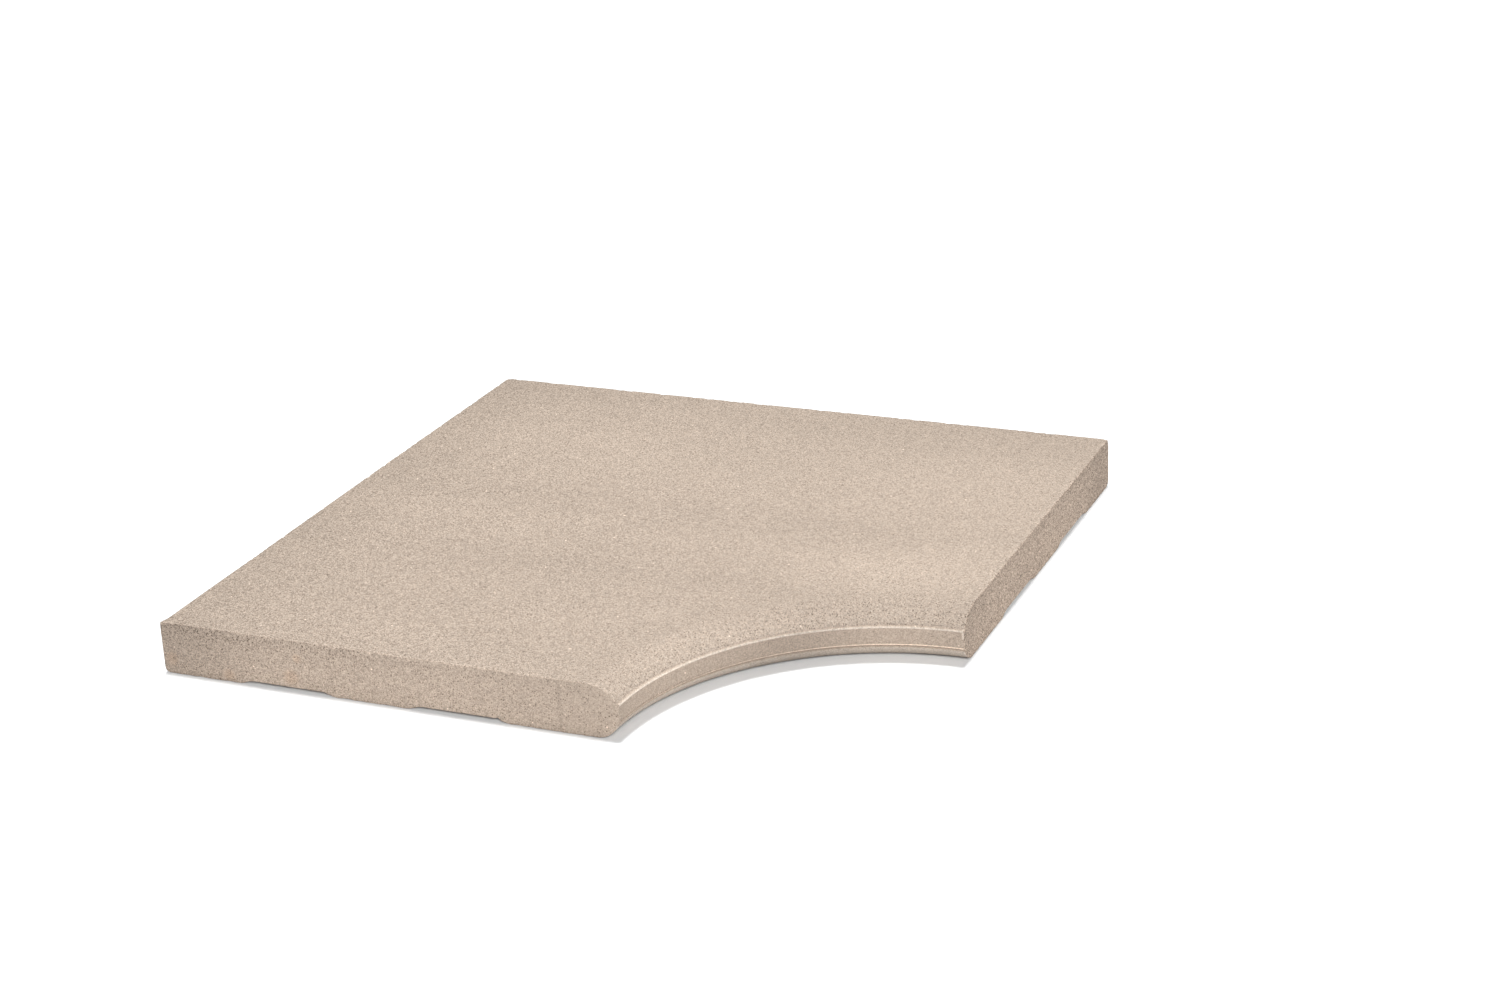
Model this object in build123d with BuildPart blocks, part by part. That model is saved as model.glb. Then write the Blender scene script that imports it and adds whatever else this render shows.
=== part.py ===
# Pool coping stone for an inside corner, cast in one piece.
# A square slab stands on a ribbed underside, and one corner is cut off by a concave moulded nose.
# Sizes are in millimetres. The origin is on the bed, in the middle of the square, with +Z up.
# The nose is in the corner at +X, -Y, so the stone is alike on both sides of the diagonal that
# runs into that corner. The faces at +X and -Y are the joint faces, where straight stones follow on.
from build123d import *
import os
from math import sqrt

# Slab
side = 600.0
thickness = 44.0
corner_wear = 2.0
top_wear = 1.5
outer_foot_round = 5.0

# Nose, turned about the upright axis through the cut-off corner
nose_radius = 200.0
roundover_radius = 31.0
bottom_round_radius = 21.0

# Lip, the raised rim where the roundover ends
lip_drop = 13.4
lip_height = 2.6
lip_ledge = 2.0
lip_stand = 0.7

# Fin, the thin rim that the parting of the mould leaves under the upright band
fin_level = 14.3
fin_height = 1.1
fin_stand = 0.6
step_below_fin = 0.8

# Underside, ribs and grooves that run round the outer corner
rib_width = 75.0
groove_width = 75.0
groove_depth = 3.25
groove_flank = 16.0
groove_count = 2

# Cutting tools run this far past the faces that they open
overrun = 5.0


def reach_of_arc(radius, height):
    """How far an arc that starts level runs sideways while it climbs or drops by the height."""
    return sqrt(radius**2 - (radius - height) ** 2)


# Radii and levels of the nose section
lip_level = thickness - lip_drop
lip_root_radius = nose_radius + lip_ledge
top_radius = lip_root_radius + reach_of_arc(roundover_radius, lip_drop)
band_radius = nose_radius + lip_stand
step_radius = band_radius + step_below_fin
bed_radius = step_radius + reach_of_arc(bottom_round_radius, fin_level)

corner = Vector(side / 2, -side / 2, 0)
corner_axis = Axis(corner, (0, 0, 1))
nose_plane = Plane(origin=corner, x_dir=(1, 0, 0), z_dir=(0, -1, 0))
front_plane = Plane(origin=(-side / 2, -side / 2, 0), x_dir=(1, 0, 0), z_dir=(0, -1, 0))
diagonal_plane = Plane(origin=(0, 0, 0), x_dir=(1, -1, 0), z_dir=(1, 1, 0))

# Space in front of the nose, with the section of the nose as its outer wall
with BuildPart() as nose_space:
    with BuildSketch(nose_plane) as nose_section:
        with BuildLine() as nose_outline:
            top_of_space = Line((0, thickness + overrun), (top_radius, thickness + overrun))
            rise_to_top = Line(top_of_space @ 1, (top_radius, thickness))
            roundover = TangentArc(rise_to_top @ 1, (lip_root_radius, lip_level), tangent=(-1, 0))
            lip = ThreePointArc(
                roundover @ 1,
                (nose_radius, lip_level - lip_height / 2),
                (band_radius, lip_level - lip_height),
            )
            band = Line(lip @ 1, (band_radius, fin_level + fin_height))
            fin = ThreePointArc(
                band @ 1,
                (band_radius - fin_stand, fin_level + fin_height / 2),
                (band_radius, fin_level),
            )
            step = Line(fin @ 1, (step_radius, fin_level))
            bottom_round = TangentArc((bed_radius, 0), step @ 1, tangent=(-1, 0))
            drop_to_bottom = Line(bottom_round @ 0, (bed_radius, -overrun))
            Polyline(drop_to_bottom @ 1, (0, -overrun), top_of_space @ 0)
        make_face()
    revolve(axis=corner_axis)

# Grooves of the underside, run along Y up to the diagonal and mirrored about it
with BuildPart() as groove_space:
    with BuildSketch(front_plane) as groove_sections:
        for number in range(groove_count):
            middle = rib_width + groove_width / 2 + number * (rib_width + groove_width)
            with Locations((middle, 0)):
                with BuildSketch(mode=Mode.PRIVATE) as groove_section:
                    with BuildLine() as groove_outline:
                        foot_curve = TangentArc(
                            (-(groove_width + groove_flank) / 2, 0),
                            (-groove_width / 2, groove_depth / 2),
                            tangent=(1, 0),
                        )
                        roof_curve = TangentArc(
                            foot_curve @ 1,
                            (-(groove_width - groove_flank) / 2, groove_depth),
                            tangent=foot_curve % 1,
                        )
                        Line(roof_curve @ 1, (0, groove_depth))
                        Polyline(
                            foot_curve @ 0,
                            (-(groove_width + groove_flank) / 2, -overrun),
                            (0, -overrun),
                        )
                        mirror(about=Plane.YZ)
                    make_face()
                add(groove_section.sketch)
    extrude(amount=overrun)
    extrude(groove_sections.sketch, amount=-side)
    split(bisect_by=diagonal_plane, keep=Keep.BOTTOM)
    mirror(about=diagonal_plane)

with BuildPart() as coping_stone:
    with BuildSketch() as slab_outline:
        Rectangle(side, side)
    extrude(amount=thickness)

    # The foot is rounded along the two outer faces
    foot_edges = coping_stone.edges().group_by(Axis.Z)[0]
    fillet([foot_edges.sort_by(Axis.X)[0], foot_edges.sort_by(Axis.Y)[-1]], radius=outer_foot_round)
    fillet(coping_stone.edges().filter_by(Axis.Z), radius=corner_wear)

    # The wear of the top edges runs on down the ends of the roundover as far as the lip
    add(nose_space.part, mode=Mode.SUBTRACT)
    top_edges = coping_stone.edges().group_by(Axis.Z)[-1].filter_by(GeomType.LINE)
    fillet(top_edges, radius=top_wear)

    add(groove_space.part, mode=Mode.SUBTRACT)

coping_stone.part.label = "coping_stone"

os.makedirs("parts", exist_ok=True)
export_step(coping_stone.part, "parts/coping_stone.step")
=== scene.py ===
import math
import random

import bmesh
import bpy
import numpy as np
from mathutils import Matrix, Vector, kdtree, noise
from mathutils.geometry import delaunay_2d_cdt


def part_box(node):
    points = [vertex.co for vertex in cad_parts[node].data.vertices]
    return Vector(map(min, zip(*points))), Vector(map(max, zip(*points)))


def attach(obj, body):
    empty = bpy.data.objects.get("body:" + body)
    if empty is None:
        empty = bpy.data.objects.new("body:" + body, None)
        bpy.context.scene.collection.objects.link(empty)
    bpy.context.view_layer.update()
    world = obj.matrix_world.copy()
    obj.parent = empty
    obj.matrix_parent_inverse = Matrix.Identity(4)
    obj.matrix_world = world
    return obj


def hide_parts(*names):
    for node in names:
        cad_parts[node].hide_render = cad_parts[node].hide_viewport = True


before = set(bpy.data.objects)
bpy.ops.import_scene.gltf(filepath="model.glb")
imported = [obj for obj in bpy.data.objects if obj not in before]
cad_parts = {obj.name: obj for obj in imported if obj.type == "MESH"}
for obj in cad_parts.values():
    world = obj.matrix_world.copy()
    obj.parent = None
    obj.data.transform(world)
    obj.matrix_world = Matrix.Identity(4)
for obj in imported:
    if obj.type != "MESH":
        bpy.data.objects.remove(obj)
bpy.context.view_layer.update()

# Pool coping stone for an inside corner, cast in one piece and sandblasted.
# Lengths are in millimetres in this script, and MM turns them into metres.
MM = 0.001

# Sizes of the stone, as the solid has them
node_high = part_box("coping_stone")[1]
HALF = node_high.x / MM
THICK = node_high.z / MM
NOSE_RADIUS = 200.0
ROUNDOVER_RADIUS = 31.0
BOTTOM_ROUND_RADIUS = 21.0
LIP_DROP = 13.4
LIP_HEIGHT = 2.6
LIP_LEDGE = 2.0
LIP_STAND = 0.7
FIN_LEVEL = 14.3
FIN_HEIGHT = 1.1
FIN_STAND = 0.6
STEP_BELOW_FIN = 0.8
OUTER_FOOT_ROUND = 5.0
RIB_WIDTH = 75.0
GROOVE_WIDTH = 75.0
GROOVE_DEPTH = 3.25
GROOVE_FLANK = 16.0
GROOVE_COUNT = 2
GROOVE_MIDDLES = [
    RIB_WIDTH + GROOVE_WIDTH / 2 + number * (RIB_WIDTH + GROOVE_WIDTH) for number in range(GROOVE_COUNT)
]

# Fineness of the skin: points along an edge, and rows of points beside it by distance and spacing
EDGE_STEP = 1.3
EDGE_ROWS = ((0.35, 1.3), (0.8, 1.3), (1.4, 1.5), (2.2, 2.0), (3.4, 2.8), (5.2, 4.0))

# Spacing of the points that fill a face, their distance from its edge, and how far they stray
TOP_FILL = 5.6
UNDERSIDE_FILL = 9.0
FLANK_FILL = 4.0
JOINT_FILL = 2.6
OUTER_FILL = 4.2
FILL_START = 7.0
JOINT_FILL_START = 4.2
OUTER_FILL_START = 6.0
FILL_STRAY = 0.3

# Steps round the arcs of the nose section
ROUNDOVER_STEPS = 20
LIP_STEPS = 9
FIN_STEPS = 6
BOTTOM_STEPS = 14

# Pits: how many on a face, their radii, and how far they stay from its edge
TOP_PITS = 900
JOINT_PITS = 260
OUTER_PITS = 220
PIT_SMALLEST = 0.4
PIT_SPREAD = 0.6
PIT_MARGIN = 1.5
# Width and depth of a pit, as shares of its radius
PIT_REACH = 1.05
PIT_DEPTH = 0.45

SEED = 20
dice = random.Random(SEED)


def reach_of_arc(radius, height):
    """How far an arc that starts level runs sideways while it climbs by the height."""
    return math.sqrt(radius**2 - (radius - height) ** 2)


LIP_LEVEL = THICK - LIP_DROP
LIP_ROOT_RADIUS = NOSE_RADIUS + LIP_LEDGE
TOP_RADIUS = LIP_ROOT_RADIUS + reach_of_arc(ROUNDOVER_RADIUS, LIP_DROP)
BAND_RADIUS = NOSE_RADIUS + LIP_STAND
STEP_RADIUS = BAND_RADIUS + STEP_BELOW_FIN
BED_RADIUS = STEP_RADIUS + reach_of_arc(BOTTOM_ROUND_RADIUS, FIN_LEVEL)


def steps(start, end, spacing):
    """Even values from start to end, both kept."""
    count = max(1, round(abs(end - start) / spacing))
    return np.linspace(start, end, count + 1)


def arc_about(centre, radius, start, end, count):
    """Points of an arc by its centre, with angles in radians."""
    angles = np.linspace(start, end, count + 1)
    return np.stack([centre[0] + radius * np.cos(angles), centre[1] + radius * np.sin(angles)], 1)


def arc_through(first, middle, last, count):
    """Points of the arc through three points."""
    (ax, ay), (bx, by), (cx, cy) = first, middle, last
    twice = 2 * (ax * (by - cy) + bx * (cy - ay) + cx * (ay - by))
    a2, b2, c2 = ax * ax + ay * ay, bx * bx + by * by, cx * cx + cy * cy
    centre = (
        (a2 * (by - cy) + b2 * (cy - ay) + c2 * (ay - by)) / twice,
        (a2 * (cx - bx) + b2 * (ax - cx) + c2 * (bx - ax)) / twice,
    )
    radius = math.dist(centre, first)
    start, turn, end = (math.atan2(p[1] - centre[1], p[0] - centre[0]) for p in (first, middle, last))
    full = 2 * math.pi
    if (turn - start) % full > (end - start) % full:
        end_angle = start - (start - end) % full
    else:
        end_angle = start + (end - start) % full
    return arc_about(centre, radius, start, end_angle, count)


def nose_outline():
    """Section of the nose as radius and level, from the walking face down to the bed."""
    top_centre = (TOP_RADIUS, THICK - ROUNDOVER_RADIUS)
    top_end = math.atan2(LIP_LEVEL - top_centre[1], LIP_ROOT_RADIUS - top_centre[0])
    roundover = arc_about(top_centre, ROUNDOVER_RADIUS, math.pi / 2, top_end, ROUNDOVER_STEPS)
    lip = arc_through(
        (LIP_ROOT_RADIUS, LIP_LEVEL),
        (NOSE_RADIUS, LIP_LEVEL - LIP_HEIGHT / 2),
        (BAND_RADIUS, LIP_LEVEL - LIP_HEIGHT),
        LIP_STEPS,
    )
    fin_top = FIN_LEVEL + FIN_HEIGHT
    band_levels = steps(LIP_LEVEL - LIP_HEIGHT, fin_top, EDGE_STEP)
    band = np.stack([np.full_like(band_levels, BAND_RADIUS), band_levels], 1)
    fin = arc_through(
        (BAND_RADIUS, fin_top),
        (BAND_RADIUS - FIN_STAND, FIN_LEVEL + FIN_HEIGHT / 2),
        (BAND_RADIUS, FIN_LEVEL),
        FIN_STEPS,
    )
    low_centre = (BED_RADIUS, BOTTOM_ROUND_RADIUS)
    low_start = math.atan2(FIN_LEVEL - low_centre[1], STEP_RADIUS - low_centre[0]) % (2 * math.pi)
    bottom = arc_about(low_centre, BOTTOM_ROUND_RADIUS, low_start, 1.5 * math.pi, BOTTOM_STEPS)
    return np.concatenate([roundover, lip[1:], band[1:], fin[1:], bottom])


def groove_height(inset):
    """Height of the underside above the bed, by the distance from the outer faces."""
    curve = (GROOVE_FLANK**2 + GROOVE_DEPTH**2) / (4 * GROOVE_DEPTH)
    height = np.zeros_like(inset)
    for middle in GROOVE_MIDDLES:
        share = ((GROOVE_WIDTH + GROOVE_FLANK) / 2 - np.abs(inset - middle)) / GROOVE_FLANK
        share = np.clip(share, 0, 1)
        near_foot = curve - np.sqrt(curve**2 - (GROOVE_FLANK * np.minimum(share, 0.5)) ** 2)
        near_roof = curve - np.sqrt(curve**2 - (GROOVE_FLANK * np.minimum(1 - share, 0.5)) ** 2)
        height += np.where(share < 0.5, near_foot, GROOVE_DEPTH - near_roof)
    return height


def outer_inset(points):
    """Distance of points from the nearer of the two outer faces."""
    return np.minimum(points[:, 0] + HALF, HALF - points[:, 1])


def round_outer_foot(points):
    """Moves points of the sharp foot onto its round, which is mitred where the two outer faces meet."""
    left, back, level = points[:, 0] + HALF, HALF - points[:, 1], points[:, 2]
    inset, other = np.minimum(left, back), np.maximum(left, back)
    a, b = OUTER_FOOT_ROUND - inset, OUTER_FOOT_ROUND - level
    far = np.hypot(a, b)
    near = (a > 0) & (b > 0) & (far > OUTER_FOOT_ROUND)
    scale = np.where(near, OUTER_FOOT_ROUND / np.maximum(far, 1), 1)
    new_inset = np.where(near, OUTER_FOOT_ROUND - a * scale, inset)
    new_other = np.where(near & (other < OUTER_FOOT_ROUND), new_inset + (other - inset) * scale, other)
    new_level = np.where(near, OUTER_FOOT_ROUND - b * scale, level)
    on_left = left <= back
    new_left = np.where(on_left, new_inset, new_other)
    new_back = np.where(on_left, new_other, new_inset)
    return np.column_stack([new_left - HALF, HALF - new_back, new_level])


def nearest_of(points):
    """A search tree over flat points."""
    tree = kdtree.KDTree(len(points))
    for index, (u, v) in enumerate(points):
        tree.insert((u, v, 0), index)
    tree.balance()
    return tree


def points_beside(loop, rows):
    """Rows of points that follow a closed loop on its inner side."""
    ahead, behind = np.roll(loop, -1, 0), np.roll(loop, 1, 0)
    along = ahead - behind
    along /= np.linalg.norm(along, axis=1)[:, None]
    inward = np.stack([-along[:, 1], along[:, 0]], 1)
    edge = nearest_of(loop)
    kept = []
    for distance, spacing in rows:
        stride = max(1, round(spacing / EDGE_STEP))
        for u, v in (loop + inward * distance)[::stride]:
            if edge.find((u, v, 0))[2] > 0.9 * distance:
                kept.append((u, v))
    return kept


def points_inside(loop, spacing, start):
    """Uneven points that fill a loop from the start distance inwards."""
    low, high = loop.min(0), loop.max(0)
    edge = nearest_of(loop)
    kept = []
    row_gap = spacing * math.sqrt(3) / 2
    for row, v in enumerate(np.arange(low[1], high[1], row_gap)):
        for u in np.arange(low[0] + (row % 2) * spacing / 2, high[0], spacing):
            stray_u = dice.uniform(-FILL_STRAY, FILL_STRAY) * spacing
            stray_v = dice.uniform(-FILL_STRAY, FILL_STRAY) * spacing
            place = (u + stray_u, v + stray_v, 0)
            if edge.find(place)[2] > start:
                kept.append(place[:2])
    return kept


# Rings of points in a pit: share of its radius, and number of points
PIT_RINGS = ((0.0, 1), (0.6, 5), (1.1, 7))


def points_of_pits(pits):
    """Points in rings, so that the skin can sink into each pit."""
    kept = []
    for u, v, radius in pits:
        turn = dice.uniform(0, math.pi)
        for share, count in PIT_RINGS:
            for number in range(count):
                angle, reach = turn + 2 * math.pi * number / count, share * radius
                kept.append((u + reach * math.cos(angle), v + reach * math.sin(angle)))
    return kept


class Skin:
    """Triangles of the whole surface, before they are welded."""

    def __init__(self):
        self.points, self.faces, self.pits = [], [], []

    def add(self, points, faces):
        first = len(self.points)
        self.points.extend(map(tuple, points))
        self.faces.extend(tuple(first + index for index in face) for face in faces)

    def fill(self, loop, free, lift, pits=()):
        """Triangles over a flat loop with free points in it; lift takes them to their place."""
        free = list(free) + points_of_pits(pits)
        count = len(loop)
        flat = [Vector(point) for point in loop] + [Vector(point) for point in free]
        rim = [(index, (index + 1) % count) for index in range(count)]
        points, _, faces = delaunay_2d_cdt(flat, rim, [], 1, 1e-5)[:3]
        self.add(lift(np.array([tuple(point) for point in points])), faces)
        if len(pits):
            places = lift(np.array([(u, v) for u, v, _ in pits]))
            self.pits.extend((Vector(place), pit[2]) for place, pit in zip(places, pits))

    def grid(self, points):
        """Triangles over rows of points, given as an array of rows by columns by place."""
        rows, columns = points.shape[:2]
        faces = []
        for row in range(rows - 1):
            for column in range(columns - 1):
                a = row * columns + column
                b = a + columns
                faces += [(a, b, a + 1), (a + 1, b, b + 1)]
        self.add(points.reshape(-1, 3), faces)


def scatter_pits(count, low, high, allowed):
    """Random pits between two corners where the place is allowed."""
    pits = []
    while len(pits) < count:
        u, v = dice.uniform(low[0], high[0]), dice.uniform(low[1], high[1])
        if allowed(u, v):
            pits.append((u, v, PIT_SMALLEST + PIT_SPREAD * dice.random() ** 2))
    return pits


def pitted_at(_, level):
    """Whether a pit stays on an upright face, where more of them lie high up."""
    return dice.random() < 0.35 + 0.65 * (level / THICK) ** 2


def from_corner(x, y):
    """Distance from the axis of the nose."""
    return np.hypot(x - HALF, y + HALF)


def arc_in_plan(radius, count):
    """Points of the nose in plan, from the front joint face to the right one."""
    angles = np.linspace(0, math.pi / 2, count + 1)
    return np.stack([HALF - radius * np.cos(angles), -HALF + radius * np.sin(angles)], 1)


NOSE_COLUMNS = round(math.pi / 2 * NOSE_RADIUS / EDGE_STEP)


def plan_loop(radius):
    """Outline of the stone in plan, with the nose at a radius, anticlockwise."""
    outer = steps(-HALF, HALF, EDGE_STEP)
    joint = steps(-HALF, HALF - radius, EDGE_STEP)
    side = np.full_like(outer, HALF)
    end = np.full_like(joint, HALF)
    return np.concatenate(
        [
            np.stack([joint, -end], 1)[:-1],
            arc_in_plan(radius, NOSE_COLUMNS)[:-1],
            np.stack([end, -joint[::-1]], 1)[:-1],
            np.stack([side, outer], 1)[len(outer) - 1 :],
            np.stack([outer[::-1], side], 1)[1:],
            np.stack([-side, outer[::-1]], 1)[1:-1],
        ]
    )


def top_place(p):
    return np.column_stack([p, np.full(len(p), THICK)])


def underside_place(p):
    level = groove_height(outer_inset(p))
    return round_outer_foot(np.column_stack([p, level]))


def front_place(p):
    return np.column_stack([p[:, 0] - HALF, np.full(len(p), -HALF), p[:, 1]])


def right_place(p):
    return np.column_stack([np.full(len(p), HALF), HALF - p[:, 0], p[:, 1]])


def left_place(p):
    return np.column_stack([np.full(len(p), -HALF), p[:, 0], p[:, 1]])


def back_place(p):
    return np.column_stack([p[:, 0], np.full(len(p), HALF), p[:, 1]])


def add_top(skin):
    """The walking face, as far as the start of the roundover, with more pits near the nose."""
    loop = plan_loop(TOP_RADIUS)

    def pitted_near_nose(x, y):
        crowd = math.exp(-(from_corner(x, y) - TOP_RADIUS) / 45)
        return from_corner(x, y) > TOP_RADIUS + PIT_MARGIN and dice.random() < 0.45 + crowd

    inner = HALF - PIT_MARGIN
    pits = scatter_pits(TOP_PITS, (-inner, -inner), (inner, inner), pitted_near_nose)
    free = points_beside(loop, EDGE_ROWS) + points_inside(loop, TOP_FILL, FILL_START)
    skin.fill(loop, free, top_place, pits)


def add_underside(skin):
    """The ribbed underside, with lines of points along the flanks of the grooves."""
    loop = plan_loop(BED_RADIUS)
    free = points_beside(loop, EDGE_ROWS) + points_inside(loop, UNDERSIDE_FILL, FILL_START)
    for middle in GROOVE_MIDDLES:
        for side in (-1, 1):
            for share in (-0.5, -0.25, 0, 0.25, 0.5):
                inset = middle + side * (GROOVE_WIDTH / 2 + share * GROOVE_FLANK)
                for run in steps(inset, 2 * HALF - FILL_START, FLANK_FILL):
                    free.append((inset - HALF, HALF - run))
                    free.append((run - HALF, HALF - inset))
    skin.fill(loop, free, underside_place)


def add_joint_face(skin, place):
    """A flat end that meets the next stone; place turns points of its outline into places in space."""
    section = nose_outline()
    top = steps(0, 2 * HALF - TOP_RADIUS, EDGE_STEP)
    foot = steps(0, 2 * HALF - BED_RADIUS, EDGE_STEP)
    edge = steps(0, THICK, EDGE_STEP)
    sharp = np.concatenate(
        [
            np.stack([foot, groove_height(foot)], 1)[:-1],
            np.stack([2 * HALF - section[:, 0], section[:, 1]], 1)[::-1][:-1],
            np.stack([top, np.full_like(top, THICK)], 1)[::-1][:-1],
            np.stack([np.zeros_like(edge), edge], 1)[::-1][:-1],
        ]
    )
    rounded = round_outer_foot(front_place(sharp))
    loop = np.stack([rounded[:, 0] + HALF, rounded[:, 2]], 1)
    low, high = (OUTER_FOOT_ROUND, OUTER_FOOT_ROUND), (2 * HALF - BED_RADIUS, THICK - PIT_MARGIN)
    pits = scatter_pits(JOINT_PITS, low, high, pitted_at)
    free = points_beside(loop, EDGE_ROWS[:-1]) + points_inside(loop, JOINT_FILL, JOINT_FILL_START)
    skin.fill(loop, free, place, pits)


def add_outer_face(skin, place):
    """A plain upright outer face; place turns points of its outline into places in space."""
    along = steps(-HALF, HALF, EDGE_STEP)
    edge = steps(0, THICK, EDGE_STEP)
    side = np.full_like(edge, HALF)
    loop = np.concatenate(
        [
            np.stack([along, np.zeros_like(along)], 1)[:-1],
            np.stack([side, edge], 1)[:-1],
            np.stack([along, np.full_like(along, THICK)], 1)[::-1][:-1],
            np.stack([-side, edge], 1)[::-1][:-1],
        ]
    )
    low, high = (-HALF + PIT_MARGIN, OUTER_FOOT_ROUND), (HALF - PIT_MARGIN, THICK - PIT_MARGIN)
    pits = scatter_pits(OUTER_PITS, low, high, pitted_at)
    free = points_beside(loop, EDGE_ROWS) + points_inside(loop, OUTER_FILL, OUTER_FILL_START)
    skin.fill(loop, free, lambda p: round_outer_foot(place(p)), pits)


def add_nose(skin):
    """The moulded nose, its section turned from one joint face to the other."""
    section = nose_outline()
    rows = [
        np.column_stack([arc_in_plan(radius, NOSE_COLUMNS), np.full(NOSE_COLUMNS + 1, level)])
        for radius, level in section
    ]
    skin.grid(np.array(rows))


WELD_GAP = 0.02


def weld(skin):
    """One closed mesh of the skin, in millimetres."""
    mesh = bpy.data.meshes.new("stone_skin")
    mesh.from_pydata(skin.points, [], skin.faces)
    body = bmesh.new()
    body.from_mesh(mesh)
    loose = [point for point in body.verts if not point.link_faces]
    bmesh.ops.delete(body, geom=loose, context="VERTS")
    bmesh.ops.remove_doubles(body, verts=body.verts, dist=WELD_GAP)
    bmesh.ops.recalc_face_normals(body, faces=body.faces)
    body.to_mesh(mesh)
    body.free()
    return mesh


# Wear of the edges, and of the nose's ends. It is uneven in patches
WORN_EDGE = 0.55
WORN_NOSE_END = 0.3
WORN_PATCH = 14.0
# The upper left edge is worn more: by how much, how far from the front, and how deep and soft
WORN_LEFT_EDGE = 3.6
WORN_LEFT_LENGTH = 380.0
WORN_LEFT_DEPTH = 9.0
WORN_LEFT_RISE = 6.0
WORN_LEFT_START = 8.0
NOSE_REACH = 8.0
FAR_AWAY = 1000.0


def surfaces_near(points):
    """For each of the stone's surfaces, how deep the points lie under it and which way it faces."""
    x, y, z = points.T
    left, back = x + HALF, HALF - y
    inset = np.minimum(left, back)
    count = len(points)
    far = np.full(count, FAR_AWAY)

    def facing(nx, ny, nz):
        return np.tile(np.array([nx, ny, nz], float), (count, 1))

    in_foot = (inset < OUTER_FOOT_ROUND) & (z < OUTER_FOOT_ROUND)
    a, b = OUTER_FOOT_ROUND - inset, OUTER_FOOT_ROUND - z
    reach = np.maximum(np.hypot(a, b), 1e-9)
    sideways = np.where((left < back)[:, None], facing(-1, 0, 0), facing(0, 1, 0))
    foot_normal = (sideways * a[:, None] + facing(0, 0, -1) * b[:, None]) / reach[:, None]

    radius = from_corner(x, y)
    at_nose = radius < TOP_RADIUS + NOSE_REACH
    section = nose_outline()
    tangent = np.gradient(section, axis=0)
    tangent /= np.linalg.norm(tangent, axis=1)[:, None]
    outward = np.stack([tangent[:, 1], -tangent[:, 0]], 1)
    nose_depth, nose_normal = far.copy(), facing(0, 0, 1)
    for index in np.flatnonzero(at_nose):
        gap = np.hypot(section[:, 0] - radius[index], section[:, 1] - z[index])
        best = gap.argmin()
        ahead_r, ahead_z = outward[best]
        from_axis = np.array([x[index] - HALF, y[index] + HALF]) / radius[index]
        offset = np.array([section[best, 0] - radius[index], section[best, 1] - z[index]])
        nose_depth[index] = max(0.0, offset @ outward[best])
        nose_normal[index] = (*(from_axis * ahead_r), ahead_z)
    over_top = at_nose & (radius > TOP_RADIUS) & (z > THICK / 2)
    over_bed = at_nose & (radius > BED_RADIUS) & (z < THICK / 2)
    nose_depth = np.where(over_top | over_bed, far, nose_depth)
    flat = ~at_nose | over_top | over_bed
    return [
        (np.where(in_foot, far, left), facing(-1, 0, 0)),
        (np.where(in_foot, far, back), facing(0, 1, 0)),
        (y + HALF, facing(0, -1, 0)),
        (HALF - x, facing(1, 0, 0)),
        (np.where(flat, THICK - z, far), facing(0, 0, 1)),
        (np.where(flat & ~in_foot, z - groove_height(inset), far), facing(0, 0, -1)),
        (np.where(in_foot, OUTER_FOOT_ROUND - reach, far), foot_normal),
        (nose_depth, nose_normal),
    ]


def noise_at(points, size, seed):
    """Smooth noise between 0 and 1 at points, with features of about the size."""
    shift = Vector((seed * 17.3, seed * -9.1, seed * 4.7))
    return np.array([0.5 + 0.5 * noise.noise(Vector(p) / size + shift) for p in points])


def worn_edges(points):
    """The points with every sharp edge rounded by its wear, and how far each lies from an edge."""
    near = surfaces_near(points)
    x, y, z = points.T
    worn = np.where(from_corner(x, y) < TOP_RADIUS, WORN_NOSE_END, WORN_EDGE)
    worn = worn * (0.55 + 0.9 * noise_at(points, WORN_PATCH, 1))
    high_up = np.clip((z - THICK + WORN_LEFT_DEPTH) / WORN_LEFT_RISE, 0, 1)
    at_left = (x < WORN_LEFT_DEPTH - HALF) * high_up
    at_left = at_left * np.clip((y + HALF) / WORN_LEFT_START, 0, 1)
    worn += at_left * WORN_LEFT_EDGE * np.clip(1 - (y + HALF) / WORN_LEFT_LENGTH, 0, 1)
    pull = np.zeros_like(points)
    for depth, normal in near:
        pull += np.clip(worn - depth, 0, None)[:, None] * normal
    size = np.linalg.norm(pull, axis=1)
    over = size > worn
    shift = pull * (np.where(over, worn / np.maximum(size, 1e-9), 1) - 1)[:, None]
    depths = np.sort(np.stack([depth for depth, _ in near], 1), axis=1)
    return points + np.where(over[:, None], shift, 0), depths[:, 1]


# Chips along each upper edge: start and end of the edge in plan, and how many
EDGE_CHIPS = (
    ((-HALF, -HALF), (HALF - TOP_RADIUS, -HALF), 26),
    ((HALF, -HALF + TOP_RADIUS), (HALF, HALF), 26),
    ((-HALF, HALF), (HALF, HALF), 30),
    ((-HALF, -HALF), (-HALF, HALF), 30),
)
# Larger chips in the upper edge at the front: place along X, and radius
FRONT_CHIPS = ((-88, 3.6), (-82, 3.0), (-76, 2.4), (-38, 3.2), (-31, 2.4), (-12, 2.0))
# Chips low on the front joint face and at two upper corners: place, radius and depth
SINGLE_CHIPS = (
    ((-2.8, -HALF, 4.2), 2.8, 1.4),
    ((-HALF, -HALF, THICK), 3.0, 0.4),
    ((HALF, HALF, THICK), 5.0, 0.8),
)
LIP_CHIPS = 12


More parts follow.
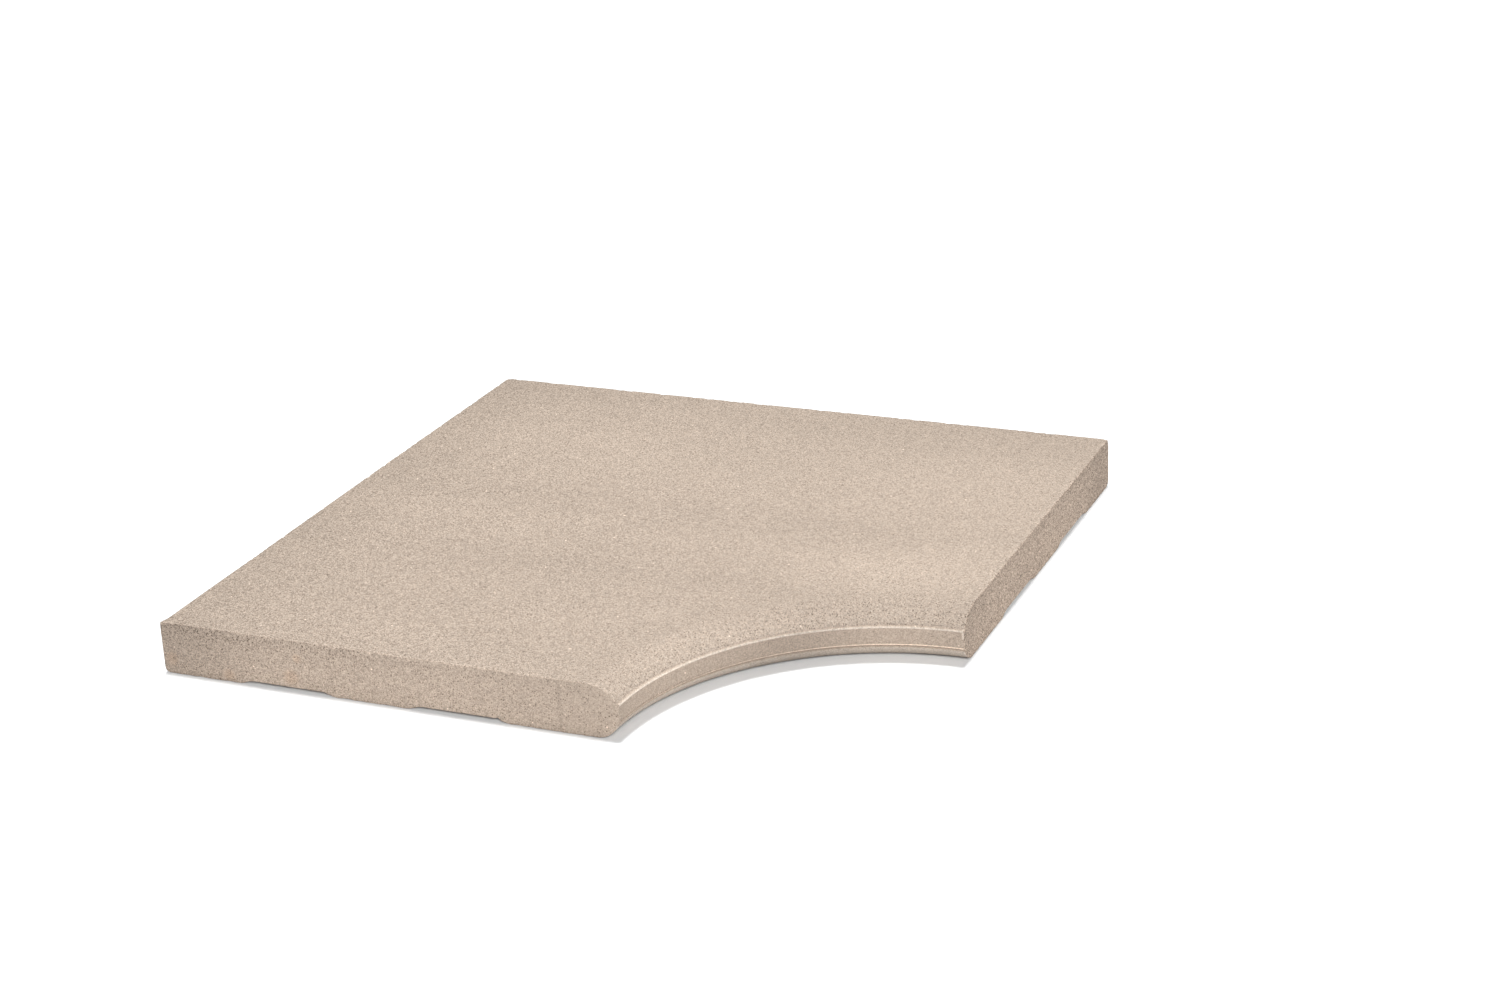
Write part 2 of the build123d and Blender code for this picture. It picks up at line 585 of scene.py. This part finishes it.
def chip_places():
    """Places along the edges where grains have broken out, as centre, radius and depth."""
    chips = [(Vector(place), radius, depth) for place, radius, depth in SINGLE_CHIPS]
    chips += [(Vector((x, -HALF, THICK)), radius, 0.3 * radius) for x, radius in FRONT_CHIPS]
    for start, end, count in EDGE_CHIPS:
        for _ in range(count):
            share = dice.random()
            place = [a + (b - a) * share for a, b in zip(start, end)]
            radius = dice.uniform(1.6, 3.6)
            chips.append((Vector((*place, THICK)), radius, radius * dice.uniform(0.12, 0.25)))
    for _ in range(LIP_CHIPS):
        angle = dice.uniform(0.02, math.pi / 2 - 0.02)
        x, y = HALF - NOSE_RADIUS * math.cos(angle), -HALF + NOSE_RADIUS * math.sin(angle)
        place = (x, y, LIP_LEVEL - 1)
        radius = dice.uniform(1.2, 2.2)
        chips.append((Vector(place), radius, radius * dice.uniform(0.1, 0.2)))
    return chips


def depth_in(points, hollows):
    """How deep each point lies in round hollows, given as centre, radius and depth."""
    tree = kdtree.KDTree(len(points))
    for index, point in enumerate(points):
        tree.insert(point, index)
    tree.balance()
    depth = np.zeros(len(points))
    for centre, radius, deepest in hollows:
        for _, index, gap in tree.find_range(centre, radius):
            depth[index] = max(depth[index], deepest * (1 - (gap / radius) ** 2))
    return depth


SKIN_INSET = 0.05
# Room for the loose grains, which stand a little proud of the skin
GRAIN_ROOM = 0.12

# Unevenness of the skin: depths, and sizes of the features
SWELL_DEPTH, SWELL_SIZE = 0.06, 70.0
RIPPLE_DEPTH, RIPPLE_SIZE = 0.05, 9.0
CRUMBLE_DEPTH, NOSE_CRUMBLE_DEPTH, CRUMBLE_SIZE, CRUMBLE_REACH = 0.24, 0.08, 2.2, 1.8
FOOT_BREAK_DEPTH, FOOT_BREAK_SIZE, FOOT_BREAK_HEIGHT, FOOT_BREAK_REACH = 1.6, 7.0, 2.5, 2.5
LIP_RAG_DEPTH, LIP_RAG_SIZE, LIP_RAG_HEIGHT = 0.24, 4.0, 1.4

# What counts as full in the attributes of the skin
FULL_PIT_DEPTH, FULL_CHIP_DEPTH, FULL_SAND = 0.4, 0.6, 2


def relief(points, edge_gap, pits):
    """How far each point sinks, its depth in pits and in chips, and how near to an edge it is."""
    radius, level = from_corner(points[:, 0], points[:, 1]), points[:, 2]
    near_edge = np.exp(-edge_gap / CRUMBLE_REACH)
    swell = SWELL_DEPTH * noise_at(points, SWELL_SIZE, 2)
    ripple = RIPPLE_DEPTH * noise_at(points, RIPPLE_SIZE, 3)
    grit = noise_at(points, CRUMBLE_SIZE, 4)
    crumble = near_edge * np.where(radius < TOP_RADIUS, NOSE_CRUMBLE_DEPTH, CRUMBLE_DEPTH) * grit
    at_foot = np.clip(1 - level / FOOT_BREAK_HEIGHT, 0, 1) * np.exp(-edge_gap / FOOT_BREAK_REACH)
    holes = np.clip(noise_at(points, FOOT_BREAK_SIZE, 7) - 0.45, 0, 1)
    broken_foot = at_foot * FOOT_BREAK_DEPTH * holes
    pit_depth = depth_in(points, [(place, size * PIT_REACH, size * PIT_DEPTH) for place, size in pits])
    chip_depth = depth_in(points, chip_places())
    at_lip = np.exp(-(((level - LIP_LEVEL + LIP_HEIGHT / 2) / LIP_RAG_HEIGHT) ** 2))
    at_lip = at_lip * (radius < LIP_ROOT_RADIUS + 1)
    ragged_lip = at_lip * (LIP_RAG_DEPTH * noise_at(points, LIP_RAG_SIZE, 6) - LIP_RAG_DEPTH / 2)
    depth = SKIN_INSET + swell + ripple + crumble + broken_foot
    return depth + pit_depth + chip_depth + ragged_lip, pit_depth, chip_depth, near_edge


def build_stone():
    """The whole stone as one dense closed mesh."""
    skin = Skin()
    add_top(skin)
    add_underside(skin)
    add_joint_face(skin, front_place)
    add_joint_face(skin, right_place)
    add_outer_face(skin, left_place)
    add_outer_face(skin, back_place)
    add_nose(skin)
    mesh = weld(skin)
    count = len(mesh.vertices)
    flat = np.empty(count * 3)
    mesh.vertices.foreach_get("co", flat)
    points, edge_gap = worn_edges(flat.reshape(-1, 3))
    mesh.vertices.foreach_set("co", points.ravel())
    mesh.update()
    normals = np.empty(count * 3)
    mesh.vertices.foreach_get("normal", normals)
    normals = normals.reshape(-1, 3)
    depth, pit_depth, chip_depth, near_edge = relief(points, edge_gap, skin.pits)
    points = points - normals * depth[:, None]
    points[:, 2] = np.maximum(points[:, 2], 0)
    points *= 1 - GRAIN_ROOM / np.array([HALF, HALF, THICK])
    mesh.vertices.foreach_set("co", (points * MM).ravel())
    layers = {
        "pit": pit_depth / FULL_PIT_DEPTH,
        "chip": chip_depth / FULL_CHIP_DEPTH,
        "edge": near_edge,
        "sand": sand_share(points, normals, edge_gap) / FULL_SAND,
    }
    for name, values in layers.items():
        layer = mesh.attributes.new(name, "FLOAT", "POINT")
        layer.data.foreach_set("value", np.clip(values, 0, 1).astype(np.float32))
    mesh.polygons.foreach_set("use_smooth", [True] * len(mesh.polygons))
    mesh.update()
    stone = bpy.data.objects.new("stone_body", mesh)
    bpy.context.scene.collection.objects.link(stone)
    return stone


# Crowding of the loose grains on each part, and how far it keeps from the edges and the foot
SAND_ON_TOP, SAND_AT_NOSE, SAND_NOSE_REACH = 0.5, 1.4, 30
SAND_ON_SIDES = 1.2
SAND_ON_BAND = 0.25
SAND_MARGIN, SAND_FADE, SAND_LOWEST = 0.8, 1.5, 1


def sand_share(points, normals, edge_gap):
    """How crowded with loose grains each part of the skin is; none lie at an edge or underneath."""
    radius, level = from_corner(points[:, 0], points[:, 1]), points[:, 2]
    from_nose = np.clip(radius - TOP_RADIUS, 0, None)
    share = SAND_ON_TOP + SAND_AT_NOSE * np.exp(-from_nose / SAND_NOSE_REACH)
    share = np.where(np.abs(normals[:, 2]) < 0.3, SAND_ON_SIDES, share)
    on_band = (radius < LIP_ROOT_RADIUS) & (level < LIP_LEVEL)
    share = np.where(on_band, SAND_ON_BAND, share)
    share = share * np.clip((edge_gap - SAND_MARGIN) / SAND_FADE, 0, 1)
    return np.where((normals[:, 2] < -0.5) | (level < SAND_LOWEST), 0, share)


class Level:
    """A number that varies over a surface. Sums with it add Math nodes."""

    def __init__(self, tree, socket):
        self.tree, self.socket = tree, socket

    def math(self, operation, *values):
        node = self.tree.nodes.new("ShaderNodeMath")
        node.operation = operation
        for place, value in zip(node.inputs, values):
            connect(self.tree, place, value)
        return Level(self.tree, node.outputs[0])

    def __add__(self, other):
        return self.math("ADD", self, other)

    __radd__ = __add__

    def __sub__(self, other):
        return self.math("SUBTRACT", self, other)

    def __rsub__(self, other):
        return self.math("SUBTRACT", other, self)

    def __mul__(self, other):
        return self.math("MULTIPLY", self, other)

    __rmul__ = __mul__

    def __truediv__(self, other):
        return self.math("DIVIDE", self, other)

    def __pow__(self, other):
        return self.math("POWER", self, other)

    def smaller(self, other):
        return self.math("MINIMUM", self, other)

    def larger(self, other):
        return self.math("MAXIMUM", self, other)

    def size(self):
        return self.math("ABSOLUTE", self)

    def fade(self, low, high):
        """From 0 at low to 1 at high, eased at both ends."""
        node = self.tree.nodes.new("ShaderNodeMapRange")
        node.interpolation_type = "SMOOTHSTEP"
        for name, value in (("Value", self), ("From Min", low), ("From Max", high)):
            connect(self.tree, node.inputs[name], value)
        return Level(self.tree, node.outputs[0])


def connect(tree, place, value):
    """Sets a socket to a plain value, or links it."""
    if isinstance(value, Level):
        tree.links.new(value.socket, place)
    elif isinstance(value, bpy.types.NodeSocket):
        tree.links.new(value, place)
    else:
        place.default_value = value


class Recipe:
    """A node tree, with one method that adds any node."""

    def __init__(self, tree):
        self.tree = tree

    def node(self, kind, settings=None, **inputs):
        made = self.tree.nodes.new(kind)
        for name, value in (settings or {}).items():
            setattr(made, name, value)
        for name, value in inputs.items():
            wanted = name.replace("_", " ")
            place = next(s for s in made.inputs if s.identifier == name or s.name == wanted)
            connect(self.tree, place, value)
        return made

    def level(self, socket):
        return Level(self.tree, socket)

    def result(self, kind, settings, **inputs):
        """The one output that a node with a data type has in use."""
        made = self.node(kind, settings, **inputs)
        return next(socket for socket in made.outputs if socket.enabled)


class Finish(Recipe):
    """A surface material, with its patterns measured in millimetres of the stone's own place."""

    def __init__(self, name):
        self.material = bpy.data.materials.new(name)
        self.material.use_nodes = True
        super().__init__(self.material.node_tree)
        self.shader = self.tree.nodes["Principled BSDF"]
        own = self.node("ShaderNodeTexCoord").outputs["Object"]
        self.place = self.node("ShaderNodeVectorMath", {"operation": "SCALE"}, Vector=own, Scale=1 / MM)
        self.place = self.place.outputs["Vector"]
        parts = self.node("ShaderNodeSeparateXYZ", Vector=self.place).outputs
        self.x, self.y, self.z = (self.level(part) for part in parts)

    def cloud(self, size, detail=2, along=(1, 1, 1)):
        """Soft noise about 0 with features of a size, stretched by a factor along each axis."""
        scale = tuple(1 / share for share in along)
        place = self.node("ShaderNodeVectorMath", {"operation": "MULTIPLY"}, Vector=self.place,
                          Vector_001=scale).outputs["Vector"]
        made = self.node("ShaderNodeTexNoise", Vector=place, Scale=1 / size, Detail=detail, Roughness=0.5)
        return self.level(made.outputs[0]) - 0.5

    def grains(self, size):
        """Cells of a size, as two random levels from 0 to 1 and the distance from the middle."""
        made = self.node("ShaderNodeTexVoronoi", Vector=self.place, Scale=1 / size)
        parts = self.node("ShaderNodeSeparateColor", Color=made.outputs["Color"]).outputs
        return self.level(parts[0]), self.level(parts[1]), self.level(made.outputs["Distance"])

    def specks(self, size, share, radius):
        """Rare dots: 1 in the middle of a share of the cells, and 0 elsewhere."""
        chance, _, distance = self.grains(size)
        return chance.fade(1 - share, 1 - share * 0.7) * (1 - distance.fade(radius * 0.65, radius))

    def attribute(self, name):
        return self.level(self.node("ShaderNodeAttribute", {"attribute_name": name}).outputs["Fac"])

    def mixed(self, share, low, high):
        return self.result("ShaderNodeMix", {"data_type": "RGBA"}, Factor_Float=share, A_Color=low,
                           B_Color=high)

    def brightened(self, colour, level):
        made = self.node("ShaderNodeVectorMath", {"operation": "SCALE"}, Vector=colour, Scale=level)
        return made.outputs["Vector"]

    def dressed(self, colour, roughness, specular):
        """The material, once its shader has the colour, roughness and specular level."""
        connect(self.tree, self.shader.inputs["Base Color"], colour)
        connect(self.tree, self.shader.inputs["Roughness"], roughness)
        self.shader.inputs["Specular IOR Level"].default_value = specular
        return self.material


# Colours of the cast stone, in linear light
SAND = (0.398, 0.328, 0.268, 1.0)
WARM_SAND = (0.412, 0.322, 0.254, 1.0)
COOL_SAND = (0.384, 0.330, 0.280, 1.0)
# RUST_SAND is also the hue of the painted shadow under the nose's fin
RUST_SAND = (0.43, 0.30, 0.21, 1.0)

# Soft light and dark bands that cross the walking face: place along Y, half width, strength
CLOUDY_BANDS = ((-96, 34, -0.038), (-22, 34, 0.035), (36, 34, -0.015), (142, 70, 0.02))
# Paler patches on the walking face: place and half width along X, then along Y, and strength
PALE_PATCHES = ((225, 130, -45, 90, 0.10), (240, 170, 90, 170, 0.06))
# Pale scratches on the walking face: place, half length along X, half width, strength
SCRATCHES = (
    (248, 271, 5, 1.2, 0.22),
    (258, 276, 6, 1.2, 0.25),
    (268, 279, 4, 1.2, 0.2),
    (75, 5, 9, 1.5, 0.10),
    (100, -50, 9, 1.5, 0.10),
)
# Painted glints on the walking face: white highlight spots, by their place
GLINT_SPOTS = ((-40, 10), (19, -88), (38, 50))
# Rusty stains on the front joint face: place along X, level, radius
RUST_STAINS = ((-292, 13, 8), (-183, 12, 9), (-176, 29, 5), (-240, 6, 7))
# Levels of the two painted highlight lines of the nose, on the lip and on the fin
LIP_LINE = LIP_LEVEL - LIP_HEIGHT / 2
FIN_LINE = FIN_LEVEL + 0.3
# Depths under a joint face between which its own finish fades out
FACE_FADE = (0.55, 1.1)

# Grains and dots of the finish: size of the cells, share of them that hold a dot, radius in cells
FINE_GRAIN = 0.75
DARK_DOTS = (1.8, 0.44, 0.36)
LONE_DOTS = (4.2, 0.40, 0.17)
CROWDED_DOTS = (1.6, 0.40, 0.38)
HOLES = (1.9, 0.6, 0.40)
PALE_DOTS = (1.9, 0.36, 0.34)
GLINTS = (9.0, 0.30, 0.10)


class StoneFinish(Finish):
    """Sandblasted cast stone: warm sand grains in pale cement, cloudy, pitted and pale where rubbed, with
    painted light and shade.
    """

    def __init__(self):
        super().__init__("cast_stone_finish")
        self.radius = ((self.x - HALF) ** 2 + (self.y + HALF) ** 2) ** 0.5
        self.left, self.back = self.x + HALF, HALF - self.y
        # Each of these is 1 on its own part of the stone and 0 elsewhere
        self.on_front = 1 - (self.y + HALF).fade(*FACE_FADE)
        self.on_right = 1 - (HALF - self.x).fade(*FACE_FADE)
        self.upright = self.on_front.larger(self.on_right)
        self.near_nose = 1 - self.radius.fade(TOP_RADIUS - 6, TOP_RADIUS + 50)
        self.on_nose = 1 - self.z.fade(LIP_LEVEL - 0.5, LIP_LEVEL + 0.3)
        self.on_nose = self.on_nose * (1 - self.radius.fade(BED_RADIUS - 5, BED_RADIUS))
        self.on_nose = self.on_nose * (1 - self.upright)
        # How far round the nose a place lies, from 0 at the right joint face to 1 at the front one
        self.turn = (HALF - self.x) / self.radius

    def around(self, level, middle, width):
        """1 where a level is at the middle, easing to 0 at the half width."""
        return 1 - (level - middle).size().fade(0, width)

    def shading(self):
        """Tone that changes slowly over the stone, with painted light and shade among its factors."""
        banks = 1 + 0.15 * self.cloud(62, 3, (2.4, 1, 1)) + 0.06 * self.cloud(22)
        for middle, width, strength in CLOUDY_BANDS:
            banks = banks + strength * self.around(self.y, middle, width)
        for x, width_x, y, width_y, strength in PALE_PATCHES:
            patch = strength * self.around(self.x, x, width_x)
            banks = banks + patch * self.around(self.y, y, width_y)
        # Painted shade: darker toward the left end of the walking face and of the front joint face, and
        # toward the back edge, as the light falls off; the front joint face is a little paler near the
        # middle of its length
        left = 1 - 0.07 * (1 - self.left.fade(0, 90)) - 0.04 * (1 - self.left.fade(0, 200))
        front_left = 0.03 * self.around(self.left, 260, 70) - 0.13 * (1 - self.left.fade(0, 110))
        front_left = 1 + self.on_front * front_left
        back = 1 - 0.085 * (1 - self.back.fade(-10, 110))
        # Painted shade: the right joint face is darker as a whole, as the face turned from the light, and
        # both joint faces grow darker toward the top
        high = self.z.fade(THICK - 12, THICK - 1)
        high = 1 - self.on_right * (0.115 + 0.08 * high) + self.on_front * (0.012 - 0.045 * high)
        right_ends = 0.5 * self.back.fade(290, 375) + 0.6 * (1 - self.back.fade(20, 90))
        right_ends = 1 - 0.08 * self.on_right * right_ends
        # Painted shade on the nose's band: darkest in the middle of its hollow, and a little darker
        # toward the right joint face
        band = 1 - self.on_nose * (0.065 * (1 - self.turn) + 0.245 * self.around(self.turn, 0.64, 0.36))
        # Painted light and shade on the roundover: lighter toward the front joint face, where it faces
        # +X, and darker toward the right joint face, where it faces -Y
        on_round = 1 - self.radius.fade(TOP_RADIUS - 12, TOP_RADIUS)
        on_round = on_round * (1 - self.on_nose) * (1 - self.upright)
        rounded = 1 + on_round * (0.03 - 0.12 * (1 - self.turn.fade(0.6, 1)))
        streaks = 0.16 * self.cloud(4, along=(0.3, 1, 4)) - 0.10 * self.around(self.x, 50, 3)
        streaks = 1 + self.on_front * streaks
        return banks * left * front_left * back * high * right_ends * band * rounded * streaks

    def marks(self):
        """Short pale scratches on the walking face, as their strength where they are."""
        marks = 0.0
        for x, y, half_length, half_width, strength in SCRATCHES:
            scratch = strength * self.around(self.x, x, half_length)
            marks = marks + scratch * self.around(self.y, y, half_width)
        return marks

    def warm_tint(self):
        """Faint rusty stains low on the front joint face."""
        stains = 0.0
        for x, z, radius in RUST_STAINS:
            stains = stains + (1 - ((self.x - x) ** 2 + (self.z - z) ** 2).fade(0, radius**2))
        return self.on_front * stains

    def grain(self):
        """Tone of single grains and specks, the height they give the surface, and the plain cells."""
        fine, self.fine_hue, _ = self.grains(FINE_GRAIN)
        rough = 1.2 - 0.35 * self.left.fade(0, 560) - 0.15 * self.on_nose - 0.15 * self.near_nose
        rough = rough + 0.95 * self.on_right - 0.3 * self.on_front
        tone = 1 + rough * 0.80 * (fine - 0.5)
        dark = self.specks(*DARK_DOTS)
        lone = self.specks(*LONE_DOTS) * (1 - self.on_nose)
        crowd = self.near_nose * (0.8 - 0.5 * self.turn.fade(0.5, 0.95))
        crowd = crowd.larger(0.3 * self.on_front).larger(0.9 * self.on_right) * (1 - self.on_nose)
        crowded = self.specks(*CROWDED_DOTS) * crowd
        # Holes high on the front joint face, mostly toward its left: sunk by the bump and darkened as
        # painted shade inside them
        shaded_holes = self.specks(*HOLES) * self.on_front * self.z.fade(18, 40)
        shaded_holes = shaded_holes * (1 - 0.7 * self.left.fade(150, 280))
        pale = self.specks(*PALE_DOTS)
        # Painted glints: bright highlight specks, and the spots listed above
        glint = self.specks(*GLINTS)
        for x, y in GLINT_SPOTS:
            glint = glint.larger(1 - ((self.x - x) ** 2 + (self.y - y) ** 2).fade(0.2, 1.6))
        sharp = 1 - 0.5 * self.on_nose
        tone = tone * (1 - 0.50 * sharp * dark) * (1 - 0.62 * crowded) * (1 - 0.6 * shaded_holes)
        tone = tone * (1 + 0.24 * sharp * pale) * (1 + 0.9 * glint) * (1 - 0.6 * lone)
        return tone, 0.3 * fine - 0.7 * dark - 0.5 * (crowded + shaded_holes) + 0.3 * pale, fine

    def nose_lines(self):
        """Tone of the nose's fine lines: painted highlights along the lip and on the fin, painted shadow
        under the fin and painted light low on the bottom round; with the shares of their cooler hue and
        of the warm tint by the fin.
        """
        # Noise that makes the painted highlights of the lip and the fin uneven
        worn = self.cloud(5)
        # Painted highlight along the lip, brighter toward the front joint face and at its end by the
        # right joint face
        lip = self.on_nose * self.around(self.z, LIP_LINE, 1.2 + 0.5 * self.turn)
        end = (1 - (HALF - self.x).fade(1.2, 3.0)) * self.z.fade(LIP_LEVEL - 9, LIP_LEVEL - 7)
        lip = lip.larger(0.8 * self.on_nose * end)
        root = self.around(self.radius, LIP_ROOT_RADIUS + 0.3, 1.6)
        root = root * self.around(self.z, LIP_LEVEL + 0.6, 1.6)
        # Painted highlight on the fin, and painted shadow just below it
        fin = self.on_nose * self.around(self.z, FIN_LINE, 1.1)
        shade_under_fin = self.on_nose * self.around(self.z, FIN_LEVEL - 1.3, 1.3)
        tone = (1 + (0.61 + 0.31 * self.turn * self.turn + 0.3 * worn) * lip) * (1 - 0.14 * root)
        tone = tone * (1 + (1.65 - 0.6 * self.turn - 0.9 * self.turn * self.turn + 0.3 * worn) * fin)
        # Painted light low on the bottom round, which faces down to the floor
        low = self.on_nose * (1 - self.z.fade(FIN_LEVEL - 4, FIN_LEVEL - 2))
        tone = tone * (1 - 0.20 * shade_under_fin) * (1 + 0.22 * low)
        return tone, lip.larger(0.8 * low), (0.2 * fin + 0.6 * shade_under_fin).smaller(1)


GRIT_HEIGHT = 0.15
STONE_SPECULAR = 0.25


def cast_stone():
    """The finish of the whole stone. Its darker grains are warmer, and its pits are darkened with painted
    shade.
    """
    finish = StoneFinish()
    grain, height, fine = finish.grain()
    lines, lip, warm_tint = finish.nose_lines()
    hue = finish.mixed(finish.fine_hue, COOL_SAND, WARM_SAND)
    hue = finish.mixed(0.5, hue, SAND)
    warm = (0.5 * finish.on_front.larger(finish.on_nose)).larger(0.9 * finish.on_right)
    hue = finish.mixed(warm, hue, WARM_SAND)
    # At the nose the warm tint follows the painted fin highlight and the painted shadow under the fin; on
    # the front joint face it is rusty stains
    hue = finish.mixed((0.5 * warm_tint + 0.4 * finish.warm_tint()).smaller(1), hue, RUST_SAND)
    # The cooler hue goes with the painted highlight of the lip and the painted light low on the nose
    hue = finish.mixed(lip, hue, COOL_SAND)
    hue = finish.mixed(1.6 * (0.75 - grain).larger(0), hue, RUST_SAND)
    # Painted shade in the pits, darker by their depth; besides, uneven grain near the edges and paler
    # fresh chips
    worn = 1 - 0.30 * finish.attribute("pit")
    worn = worn * (1 + 0.10 * finish.attribute("edge") * (fine - 0.3))
    worn = worn * (1 + 0.14 * finish.attribute("chip"))
    tone = finish.shading() * grain * lines * worn * (1 + finish.marks())
    bump = finish.node("ShaderNodeBump", Strength=0.5, Distance=GRIT_HEIGHT * MM, Height=height)
    connect(finish.tree, finish.shader.inputs["Normal"], bump.outputs["Normal"])
    return finish.dressed(finish.brightened(hue, tone), 0.86 + 0.10 * fine, STONE_SPECULAR)


# Loose grains: colour, number on a square metre at full crowding, and smallest and largest radius
DARK_GRAIN = (0.165, 0.108, 0.070)
DARK_CROWD = 12000
DARK_RADII = (0.35, 0.75)
PALE_GRAIN = (0.640, 0.560, 0.480)
PALE_CROWD = 8000
PALE_RADII = (0.30, 0.60)
# How deep the middle of a grain lies, as a share of its radius
GRAIN_SINK = 0.8


def grain_finish(name, colour):
    """A single kind of sand grain, a little uneven in tone."""
    finish = Finish(name)
    uneven = finish.brightened(colour, 1 + 0.8 * finish.cloud(4))
    return finish.dressed(uneven, 0.8, STONE_SPECULAR)


def grain_rule(name):
    """Nodes that scatter half-sunk grains over the stone, more where its sand layer is high."""
    tree = bpy.data.node_groups.new(name, "GeometryNodeTree")
    sockets = {}
    for label, kind in (("Stone", "Geometry"), ("Density", "Float"), ("Smallest", "Float"),
                        ("Largest", "Float"), ("Seed", "Int"), ("Finish", "Material")):
        made = tree.interface.new_socket(label, in_out="INPUT", socket_type="NodeSocket" + kind)
        sockets[label] = made.identifier
    tree.interface.new_socket("Grains", in_out="OUTPUT", socket_type="NodeSocketGeometry")
    rule = Recipe(tree)
    given = rule.node("NodeGroupInput").outputs
    crowd = rule.result("GeometryNodeInputNamedAttribute", {"data_type": "FLOAT"}, Name="sand")
    density = rule.level(crowd) * rule.level(given["Density"])
    spots = rule.node("GeometryNodeDistributePointsOnFaces", Mesh=given["Stone"], Density=density,
                      Seed=given["Seed"])
    size = rule.result("FunctionNodeRandomValue", {"data_type": "FLOAT"}, Min_001=given["Smallest"],
                       Max_001=given["Largest"], Seed=given["Seed"])
    full_turn = (2 * math.pi,) * 3
    turn = rule.result("FunctionNodeRandomValue", {"data_type": "FLOAT_VECTOR"}, Max=full_turn)
    down = rule.node("ShaderNodeVectorMath", {"operation": "SCALE"}, Vector=spots.outputs["Normal"],
                     Scale=rule.level(size) * -GRAIN_SINK)
    sunk = rule.node("GeometryNodeSetPosition", Geometry=spots.outputs["Points"],
                     Offset=down.outputs["Vector"])
    grain = rule.node("GeometryNodeMeshIcoSphere", Radius=1.0, Subdivisions=1)
    grains = rule.node("GeometryNodeInstanceOnPoints", Points=sunk.outputs["Geometry"],
                       Instance=grain.outputs["Mesh"], Rotation=turn, Scale=size)
    solid = rule.node("GeometryNodeRealizeInstances", Geometry=grains.outputs["Instances"])
    dressed = rule.node("GeometryNodeSetMaterial", Geometry=solid.outputs["Geometry"],
                        Material=given["Finish"])
    ending = tree.nodes.new("NodeGroupOutput")
    tree.links.new(dressed.outputs["Geometry"], ending.inputs["Grains"])
    return tree, sockets


def scatter_grains(name, stone, finish, crowd, radii, seed):
    """One piece of loose sand grains on the skin of the stone."""
    tree, sockets = grain_rule(name + "_rule")
    source = bpy.data.objects.new(name + "_source", stone.data.copy())
    bpy.context.scene.collection.objects.link(source)
    modifier = source.modifiers.new("grains", "NODES")
    modifier.node_group = tree
    modifier[sockets["Density"]] = crowd
    modifier[sockets["Smallest"]] = radii[0] * MM
    modifier[sockets["Largest"]] = radii[1] * MM
    modifier[sockets["Seed"]] = seed
    modifier[sockets["Finish"]] = finish
    seen = source.evaluated_get(bpy.context.evaluated_depsgraph_get())
    grains = bpy.data.objects.new(name, bpy.data.meshes.new_from_object(seen))
    bpy.data.objects.remove(source)
    bpy.context.scene.collection.objects.link(grains)
    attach(grains, "root")


SKY_STRENGTH = 0.17
FLOOR_COLOUR = (0.90, 0.92, 0.935, 1)
FLOOR_REACH = 30.0


def floor_finish():
    """A plain white floor."""
    return Finish("white_floor").dressed(FLOOR_COLOUR, 0.9, 0.1)


# Camera, placed as the photograph was taken: metres, degrees, and millimetres of lens and sensor
CAMERA_PLACE = (0.9552, -1.9913, 0.9402)
CAMERA_HEADING = 23.70
CAMERA_TILT = -21.68
CAMERA_ROLL = -2.62
CAMERA_LENS = 68.24
CAMERA_SENSOR = 36.0


def add_camera():
    data = bpy.data.cameras.new("camera")
    data.lens, data.sensor_width = CAMERA_LENS, CAMERA_SENSOR
    camera = bpy.data.objects.new("camera", data)
    turn = Matrix.Rotation(math.radians(CAMERA_HEADING), 4, "Z")
    turn = turn @ Matrix.Rotation(math.radians(90 + CAMERA_TILT), 4, "X")
    turn = turn @ Matrix.Rotation(math.radians(CAMERA_ROLL), 4, "Z")
    camera.matrix_world = Matrix.Translation(CAMERA_PLACE) @ turn
    bpy.context.scene.collection.objects.link(camera)
    bpy.context.scene.camera = camera


def add_sky_lamp(name, towards, spread, strength):
    """A far, soft, round lamp in a direction; the spread is in degrees."""
    data = bpy.data.lights.new(name, "SUN")
    data.energy, data.angle = strength, math.radians(spread)
    lamp = bpy.data.objects.new(name, data)
    lamp.rotation_mode = "QUATERNION"
    lamp.rotation_quaternion = Vector(towards).to_track_quat("Z", "Y")
    bpy.context.scene.collection.objects.link(lamp)


def add_lights():
    """A dim even sky, a high soft lamp a little behind the stone, and a lower one in front."""
    world = bpy.data.worlds.new("studio")
    world.use_nodes = True
    sky = world.node_tree.nodes["Background"]
    sky.inputs["Color"].default_value = (1, 1, 1, 1)
    sky.inputs["Strength"].default_value = SKY_STRENGTH
    bpy.context.scene.world = world
    bpy.context.scene.view_settings.view_transform = "Standard"
    add_sky_lamp("overhead", towards=(-0.05, 0.12, 1), spread=12, strength=3.14)
    add_sky_lamp("front_fill", towards=(0.55, -0.80, 0.63), spread=18, strength=2.34)


def add_floor():
    mesh = bpy.data.meshes.new("floor")
    corners = [(x * FLOOR_REACH, y * FLOOR_REACH, 0) for x, y in ((-1, -1), (1, -1), (1, 1), (-1, 1))]
    mesh.from_pydata(corners, [], [(0, 1, 2, 3)])
    floor = bpy.data.objects.new("floor", mesh)
    bpy.context.scene.collection.objects.link(floor)
    mesh.materials.append(floor_finish())


add_camera()
add_lights()
add_floor()

stone = build_stone()
stone.data.materials.append(cast_stone())
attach(stone, "root")
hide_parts("coping_stone")
dark_grain, pale_grain = grain_finish("dark_grain", DARK_GRAIN), grain_finish("pale_grain", PALE_GRAIN)
scatter_grains("dark_grains", stone, dark_grain, DARK_CROWD, DARK_RADII, SEED + 1)
scatter_grains("pale_grains", stone, pale_grain, PALE_CROWD, PALE_RADII, SEED + 2)
